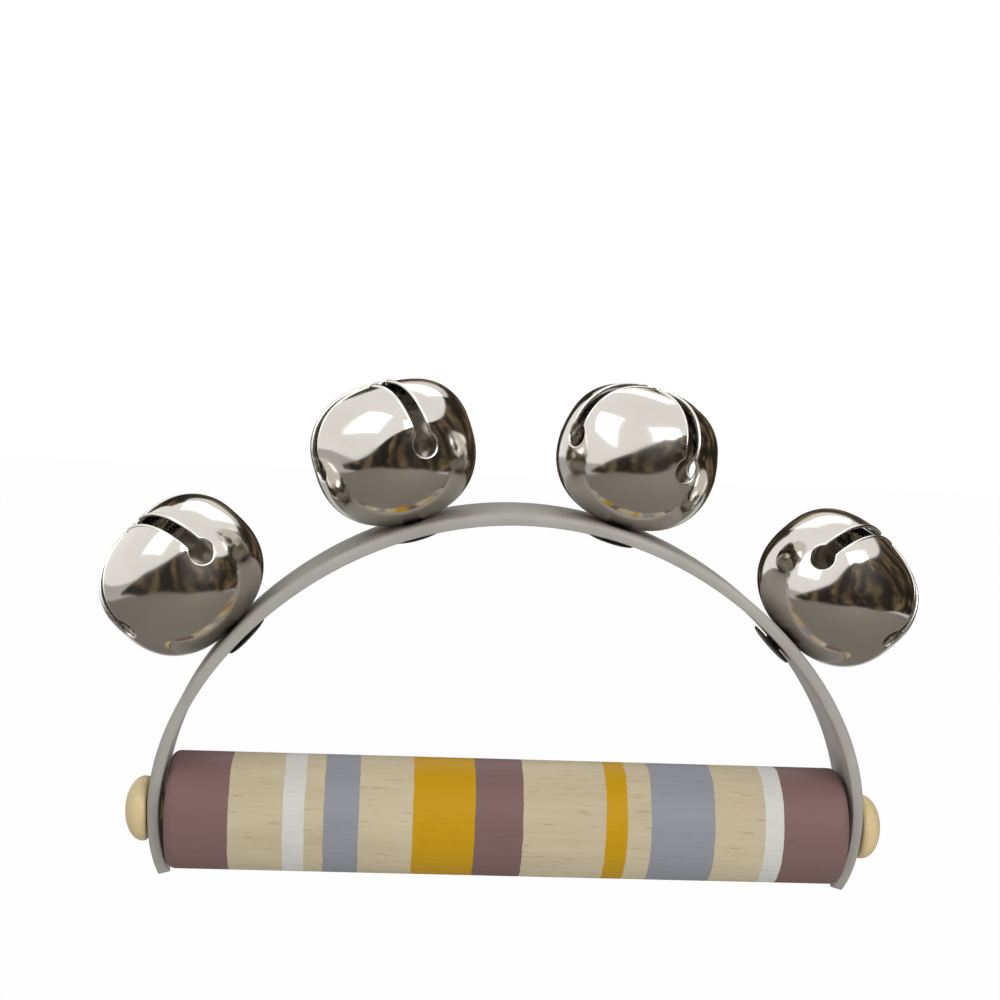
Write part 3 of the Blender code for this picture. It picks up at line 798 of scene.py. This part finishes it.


# a dark sheet round the front and the right, seen only in the metal: painted dark reflection in the bells,
# its warm patches painted glints
def makeFlag():
    mesh = bpy.data.meshes.new("flag")
    points, faces = [], []
    for i in range(flag["steps"] + 1):
        a = math.radians(-90 + flag["start"] + (flag["end"] - flag["start"]) * i / flag["steps"])
        x, y = flag["radius"] * math.cos(a), flag["radius"] * math.sin(a)
        rise = (flag["high"] - flag["low"]) * min(1.0, flag["slant"] * (i + 1) / flag["steps"])
        points += [(x, y, flag["low"]), (x, y, flag["low"] + rise)]
        if i:
            faces.append((2 * i - 2, 2 * i, 2 * i + 1, 2 * i - 1))
    mesh.from_pydata(points, [], faces)
    material, tree, shader = newMaterial("flagPaintedReflection")
    tones = tree.nodes.new("ShaderNodeValToRGB")
    for stop, (position, color) in zip(tones.color_ramp.elements, (flag["dark"], flag["warmGlint"])):
        stop.position = position
        stop.color = color
    glintPatches = noise(tree, objectPlace(tree), flag["warmPatchScale"], flag["warmPatchDetail"])
    tree.links.new(glintPatches, tones.inputs[0])
    tree.links.new(tones.outputs[0], shader.inputs["Base Color"])
    shader.inputs["Roughness"].default_value = 1.0
    addReflector(mesh, material)


# grey sheet seen only in the metal: painted grey-beige reflection in the bells' lower cups
def makeCard():
    material, tree, shader = newMaterial("cardGreyPaintedReflection")
    shader.inputs["Base Color"].default_value = stage["cardReflectionColor"]
    shader.inputs["Roughness"].default_value = 1.0
    addReflector(squareMesh("card", stage["cardSize"]), material, Matrix.Translation(stage["cardPlace"]))


def makeLights():
    for name, place, size, power in stage["lights"]:
        light = bpy.data.lights.new(name, "AREA")
        light.size = size
        light.energy = power
        obj = bpy.data.objects.new(name, light)
        obj.location = place
        obj.rotation_euler = (Vector(stage["aim"]) - Vector(place)).to_track_quat("-Z", "Y").to_euler()
        bpy.context.scene.collection.objects.link(obj)


# camera, with its own axes in world space

view = {
    "sensor": 36, "lens": 62.73, "nearest": 0.01, "place": (-0.027952, -0.367018, 0.110716),
    "right": (0.99730652, -0.05839741, 0.04437853), "up": (-0.03745448, 0.1147397, 0.99268926),
    "back": (-0.06306246, -0.99167764, 0.11224341),
}


def makeCamera():
    camera = bpy.data.cameras.new("camera")
    camera.sensor_width = view["sensor"]
    camera.lens = view["lens"]
    camera.clip_start = view["nearest"]
    place = Matrix((view["right"], view["up"], view["back"])).transposed().to_4x4()
    place.translation = view["place"]
    bpy.context.scene.camera = looseObject("camera", camera, place)


bpy.context.scene.view_settings.view_transform = "Standard"
makeWorld()
makeFloor()
makeFlag()
makeCard()
makeLights()
makeCamera()
print("stage made")
